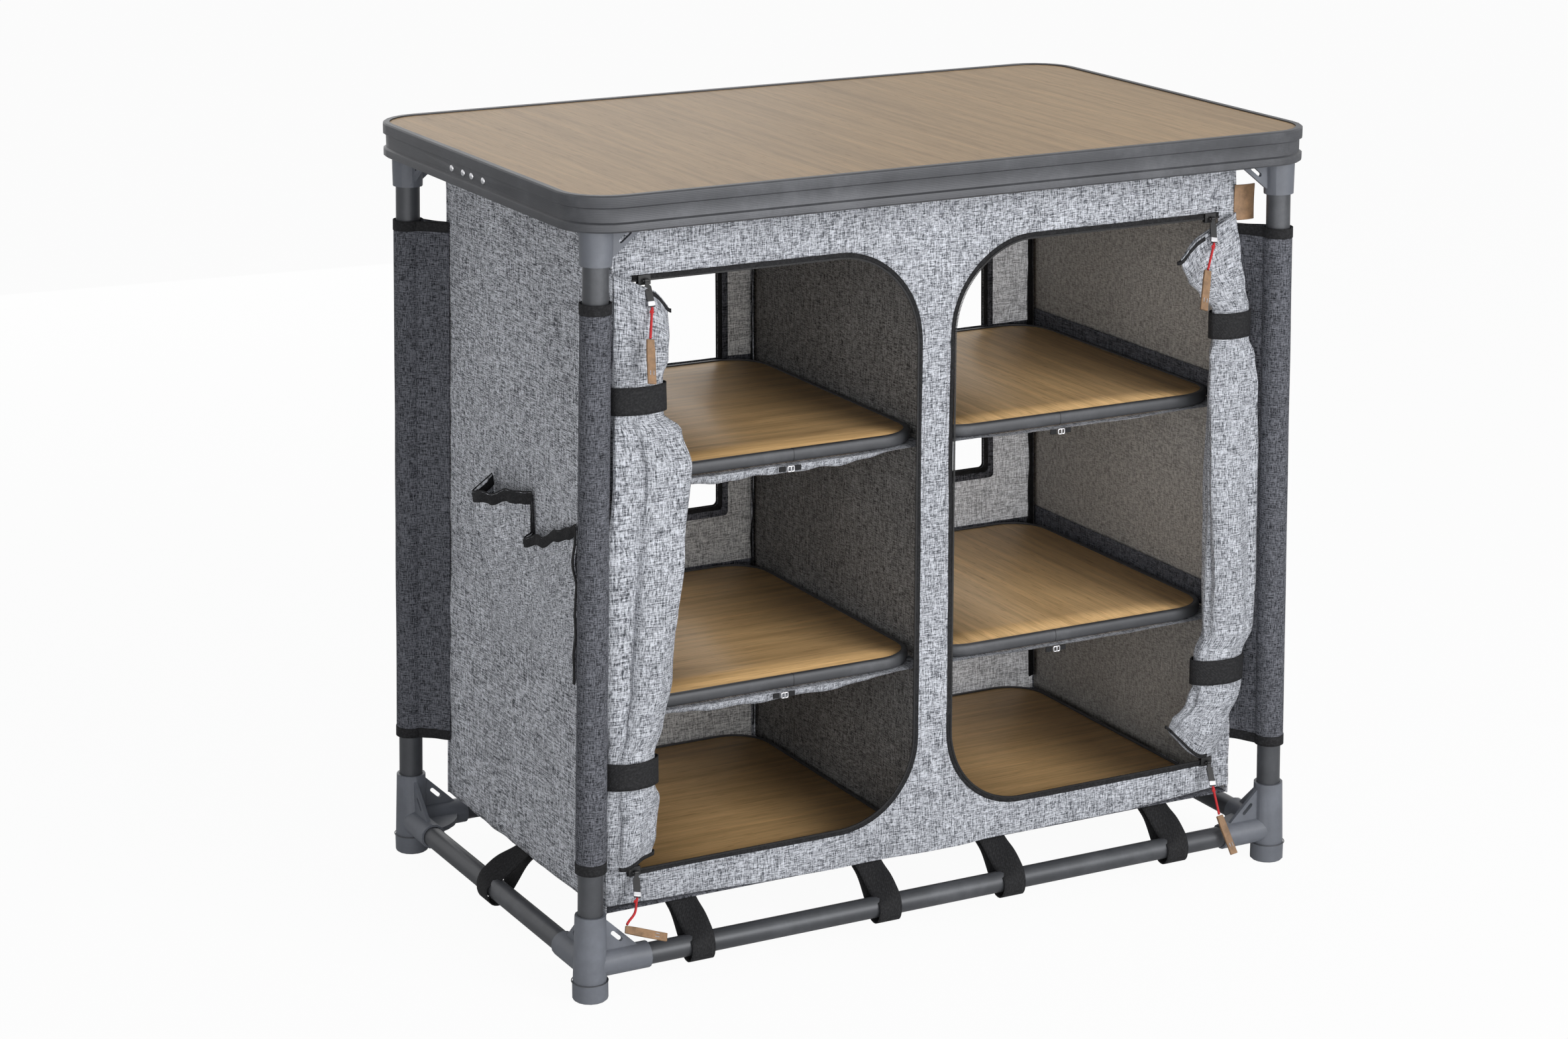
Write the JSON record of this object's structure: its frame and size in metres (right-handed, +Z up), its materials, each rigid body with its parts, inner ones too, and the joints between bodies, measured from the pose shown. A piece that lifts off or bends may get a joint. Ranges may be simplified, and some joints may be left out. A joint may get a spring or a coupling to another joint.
{
  "type": "fabric camp kitchen cupboard",
  "caption": "Knock-down camp kitchen cupboard: splayed tube frame with moulded corner joints, rimmed wooden worktop, fabric body with shelves and zipped doors rolled up at the sides",
  "frame": {"origin": "on the ground under the middle of the worktop", "axes": "+X to the right as seen from the doors, +Y from the doors to the back, +Z up"},
  "size_m": [0.8426, 0.519, 0.8],
  "materials": {
    "tube": "dark grey satin coating",
    "joint_plastic": "fine matt texture",
    "rim": "dark grey satin coating",
    "worktop_wood": "pale oak, matt",
    "shelf_wood": "warm oak, matt",
    "body_fabric": "light heather grey weave",
    "dark_fabric": "charcoal heather weave",
    "webbing": "black webbing",
    "zip": "black coil and fittings",
    "pull_cord": "red cord",
    "brown_leather": "brown, bare"
  },
  "bodies": {
    "cupboard": {"leg_front_left": "tube", "leg_front_right": "tube", "leg_back_left": "tube", "leg_back_right": "tube", "base_rail_front": "tube", "base_rail_back": "tube", "base_rail_left": "tube", "base_rail_right": "tube", "top_rail_front": "tube", "top_rail_back": "tube", "top_rail_left": "tube", "top_rail_right": "tube", "base_joint_front_left": "joint_plastic", "base_joint_front_right": "joint_plastic", "base_joint_back_left": "joint_plastic", "base_joint_back_right": "joint_plastic", "top_joint_front_left": "joint_plastic", "top_joint_front_right": "joint_plastic", "top_joint_back_left": "joint_plastic", "top_joint_back_right": "joint_plastic", "front_panel": "body_fabric", "back_panel": "body_fabric", "side_panel_left": "body_fabric", "side_panel_right": "body_fabric", "floor_panel": "body_fabric", "top_cover": "dark_fabric", "divider_with_slings": "body_fabric", "side_pocket": "body_fabric", "leather_tag": "brown_leather", "door_zip_left": "zip", "door_zip_right": "zip", "door_roll_left": "body_fabric", "door_roll_right": "body_fabric", "roll_straps_left": "webbing", "roll_straps_right": "webbing", "base_straps": "webbing"},
    "worktop": {"worktop_rim": "rim", "worktop_board": "worktop_wood"},
    "shelf_lower_left": {"shelf_lower_left": "shelf_wood"},
    "shelf_lower_right": {"shelf_lower_right": "shelf_wood"},
    "shelf_middle_left": {"shelf_middle_left": "shelf_wood"},
    "shelf_middle_right": {"shelf_middle_right": "shelf_wood"},
    "shelf_upper_left": {"shelf_upper_left": "shelf_wood"},
    "shelf_upper_right": {"shelf_upper_right": "shelf_wood"},
    "slider_top_left": {"slider_top_left": "zip"},
    "slider_top_right": {"slider_top_right": "zip"},
    "slider_base_left": {"slider_base_left": "zip"},
    "slider_base_right": {"slider_base_right": "zip"},
    "pull_top_left": {"pull_tab_top_left": "zip", "pull_cord_top_left": "pull_cord", "toggle_top_left": "brown_leather"},
    "pull_top_right": {"pull_tab_top_right": "zip", "pull_cord_top_right": "pull_cord", "toggle_top_right": "brown_leather"},
    "pull_base_left": {"pull_tab_base_left": "zip", "pull_cord_base_left": "pull_cord", "toggle_base_left": "brown_leather"},
    "pull_base_right": {"pull_tab_base_right": "zip", "pull_cord_base_right": "pull_cord", "toggle_base_right": "brown_leather"}
  },
  "joints": [
    {"name": "worktop_lift", "type": "slide", "parent": "cupboard", "child": "worktop", "axis": [0, 0, 1], "range_m": [0, 0.25]},
    {"name": "shelf_lower_left_lift", "type": "slide", "parent": "cupboard", "child": "shelf_lower_left", "axis": [0, 0, 1], "range_m": [0, 0.1]},
    {"name": "shelf_lower_right_lift", "type": "slide", "parent": "cupboard", "child": "shelf_lower_right", "axis": [0, 0, 1], "range_m": [0, 0.1]},
    {"name": "shelf_middle_left_lift", "type": "slide", "parent": "cupboard", "child": "shelf_middle_left", "axis": [0, 0, 1], "range_m": [0, 0.1]},
    {"name": "shelf_middle_right_lift", "type": "slide", "parent": "cupboard", "child": "shelf_middle_right", "axis": [0, 0, 1], "range_m": [0, 0.1]},
    {"name": "shelf_upper_left_lift", "type": "slide", "parent": "cupboard", "child": "shelf_upper_left", "axis": [0, 0, 1], "range_m": [0, 0.1]},
    {"name": "shelf_upper_right_lift", "type": "slide", "parent": "cupboard", "child": "shelf_upper_right", "axis": [0, 0, 1], "range_m": [0, 0.1]},
    {"name": "slider_top_left_slide", "type": "slide", "parent": "cupboard", "child": "slider_top_left", "axis": [1, 0, 0], "range_m": [0, 0.195]},
    {"name": "slider_top_right_slide", "type": "slide", "parent": "cupboard", "child": "slider_top_right", "axis": [-1, 0, 0], "range_m": [0, 0.195]},
    {"name": "slider_base_left_slide", "type": "slide", "parent": "cupboard", "child": "slider_base_left", "axis": [1, 0, 0], "range_m": [0, 0.22]},
    {"name": "slider_base_right_slide", "type": "slide", "parent": "cupboard", "child": "slider_base_right", "axis": [-1, 0, 0], "range_m": [0, 0.22]},
    {"name": "pull_top_left_swing", "type": "hinge", "parent": "slider_top_left", "child": "pull_top_left", "pos_m": [-0.3225, -0.2044, 0.70545], "axis": [-1, 0, 0], "range_deg": [0, 90]},
    {"name": "pull_top_right_swing", "type": "hinge", "parent": "slider_top_right", "child": "pull_top_right", "pos_m": [0.3225, -0.2044, 0.70545], "axis": [-1, 0, 0], "range_deg": [0, 90]},
    {"name": "pull_base_left_swing", "type": "hinge", "parent": "slider_base_left", "child": "pull_base_left", "pos_m": [-0.3405, -0.2044, 0.11155], "axis": [-1, 0, 0], "range_deg": [0, 90]},
    {"name": "pull_base_right_swing", "type": "hinge", "parent": "slider_base_right", "child": "pull_base_right", "pos_m": [0.3405, -0.2044, 0.11155], "axis": [-1, 0, 0], "range_deg": [0, 90]}
  ]
}
